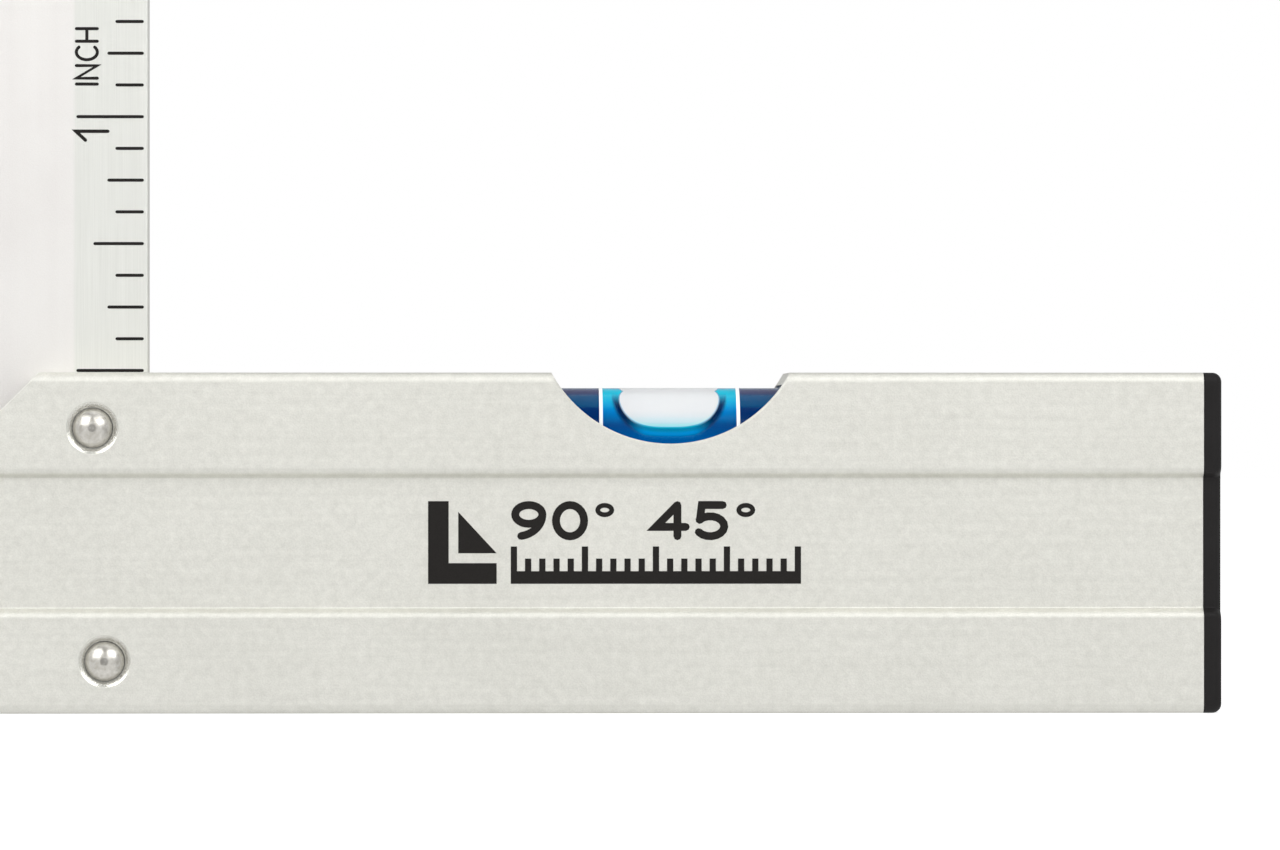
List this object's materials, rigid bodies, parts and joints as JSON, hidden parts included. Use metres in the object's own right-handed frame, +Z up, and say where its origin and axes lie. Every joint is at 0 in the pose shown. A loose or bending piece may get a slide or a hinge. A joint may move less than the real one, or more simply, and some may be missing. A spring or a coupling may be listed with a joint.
{
  "type": "try and mitre square",
  "caption": "Fixed try and mitre square: aluminium blade riveted into a hollow aluminium stock with a mitred end, a level vial in a round window and a plastic end cap.",
  "frame": {"origin": "on the stock's outer edge, under the middle of the whole tool", "axes": "+Z up along the blade, +X along the stock towards its capped end, +Y through the thickness away from the viewer"},
  "size_m": [0.1518, 0.0198, 0.3],
  "materials": {
    "satin_aluminium": "fine sand-blasted and clear anodised extrusion",
    "blade_aluminium": "sheet, fine grain along the blade, printed black scales",
    "rivet_metal": "polished by the riveting tool",
    "cap_plastic": "black moulded, fine texture",
    "packer_plastic": "dark grey moulded",
    "cradle_plastic": "white moulded",
    "vial_acrylic": "clear cast acrylic, polished",
    "vial_liquid": "clear blue liquid",
    "vial_bubble": "air, seen white against the light",
    "ring_white": "white enamel"
  },
  "bodies": {
    "square": {"stock_profile": "satin_aluminium", "blade": "blade_aluminium", "packer_front": "packer_plastic", "packer_back": "packer_plastic", "rivet_upper": "rivet_metal", "rivet_lower": "rivet_metal", "rivet_outer": "rivet_metal", "end_cap": "cap_plastic", "vial_tube": "vial_acrylic", "vial_plug": "vial_acrylic", "vial_ring_left": "ring_white", "vial_ring_right": "ring_white", "vial_liquid": "vial_liquid", "vial_cradle": "cradle_plastic"},
    "bubble": {"vial_bubble": "vial_bubble"}
  },
  "joints": [
    {"name": "bubble_travel", "type": "slide", "parent": "square", "child": "bubble", "axis": [1, 0, 0], "range_m": [-0.009, 0.009], "stiffness_N_per_m": 0.5}
  ]
}
